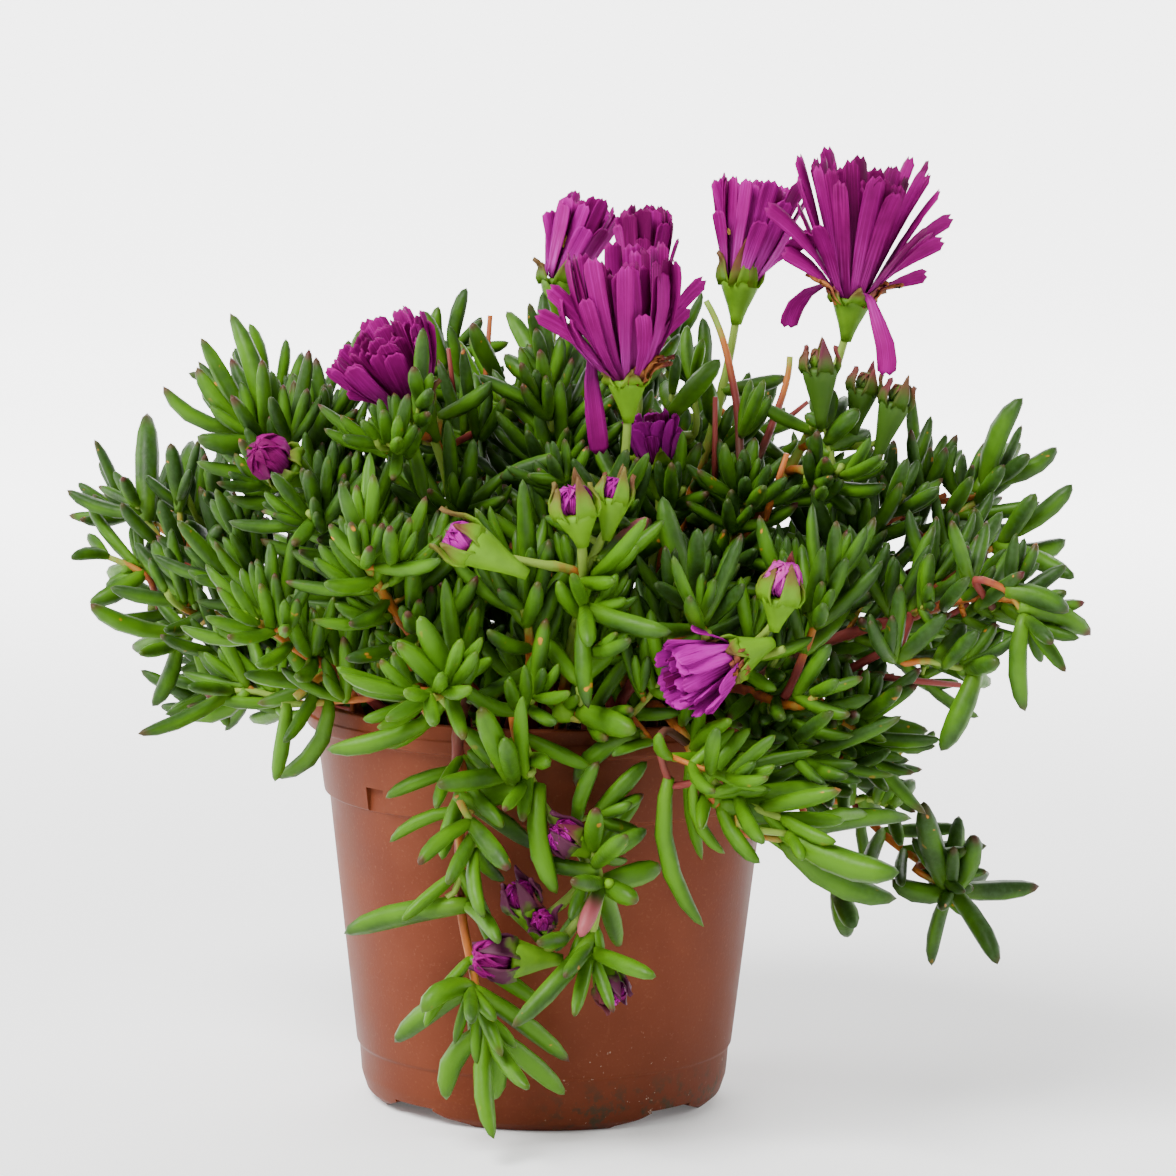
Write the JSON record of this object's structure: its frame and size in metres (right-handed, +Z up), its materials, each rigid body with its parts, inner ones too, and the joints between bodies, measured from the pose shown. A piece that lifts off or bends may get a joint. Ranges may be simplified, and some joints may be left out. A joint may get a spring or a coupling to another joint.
{
  "type": "potted ice plant",
  "caption": "Trailing succulent with plump finger-like leaves and many-petalled magenta blooms, in a round nursery pot of soil.",
  "frame": {"origin": "on the pot's axis, at the surface that its foot stands on", "axes": "+Z up the pot's axis, +X to the right of the pictured front, +Y away from the viewer"},
  "size_m": [0.2242, 0.1719, 0.21],
  "materials": {
    "terracotta_plastic": "satin moulded plastic in a terracotta colour, scuffed and stained",
    "soil": "matt, crumbly potting mix",
    "leaf": "waxy living leaf and stem, satin",
    "petal": "silky living petal"
  },
  "bodies": {
    "root": {"pot": "terracotta_plastic", "soil": "soil", "flower_a": "leaf", "flower_b": "leaf", "flower_c": "leaf", "flower_d": "leaf", "flower_e": "leaf", "flower_f": "leaf", "flower_g": "leaf", "flower_h": "leaf", "petals_a": "petal", "petals_b": "petal", "petals_c": "petal", "petals_d": "petal", "petals_e": "petal", "petals_f": "petal", "petals_g": "petal", "petals_h": "petal", "petals_ball_bud": "petal", "petals_buds_bud": "petal", "petals_g_bud": "petal", "stem_back_01": "leaf", "stem_back_02": "leaf", "stem_back_03": "leaf", "stem_back_04": "leaf", "stem_back_05": "leaf", "stem_back_06": "leaf", "stem_back_07": "leaf", "stem_back_08": "leaf", "stem_back_09": "leaf", "stem_back_10": "leaf", "stem_back_11": "leaf", "stem_back_12": "leaf", "stem_back_left": "leaf", "stem_ball_bud": "leaf", "stem_bud_fork": "leaf", "stem_crown": "leaf", "stem_crown_right": "leaf", "stem_droop_left": "leaf", "stem_dry_fork": "leaf", "stem_far_left": "leaf", "stem_far_right": "leaf", "stem_front_left": "leaf", "stem_front_right": "leaf", "stem_high_left": "leaf", "stem_low_front": "leaf", "stem_low_left": "leaf", "stem_lower_right": "leaf", "stem_mid_front": "leaf", "stem_right_back": "leaf", "stem_right_front": "leaf", "stem_right_low": "leaf", "stem_rim_left": "leaf", "stem_rosette_front": "leaf", "stem_rosette_left": "leaf", "stem_upper_right": "leaf", "trailer_buds": "leaf", "trailer_long": "leaf", "trailer_right": "leaf", "trailer_rosette": "leaf"}
  },
  "joints": []
}
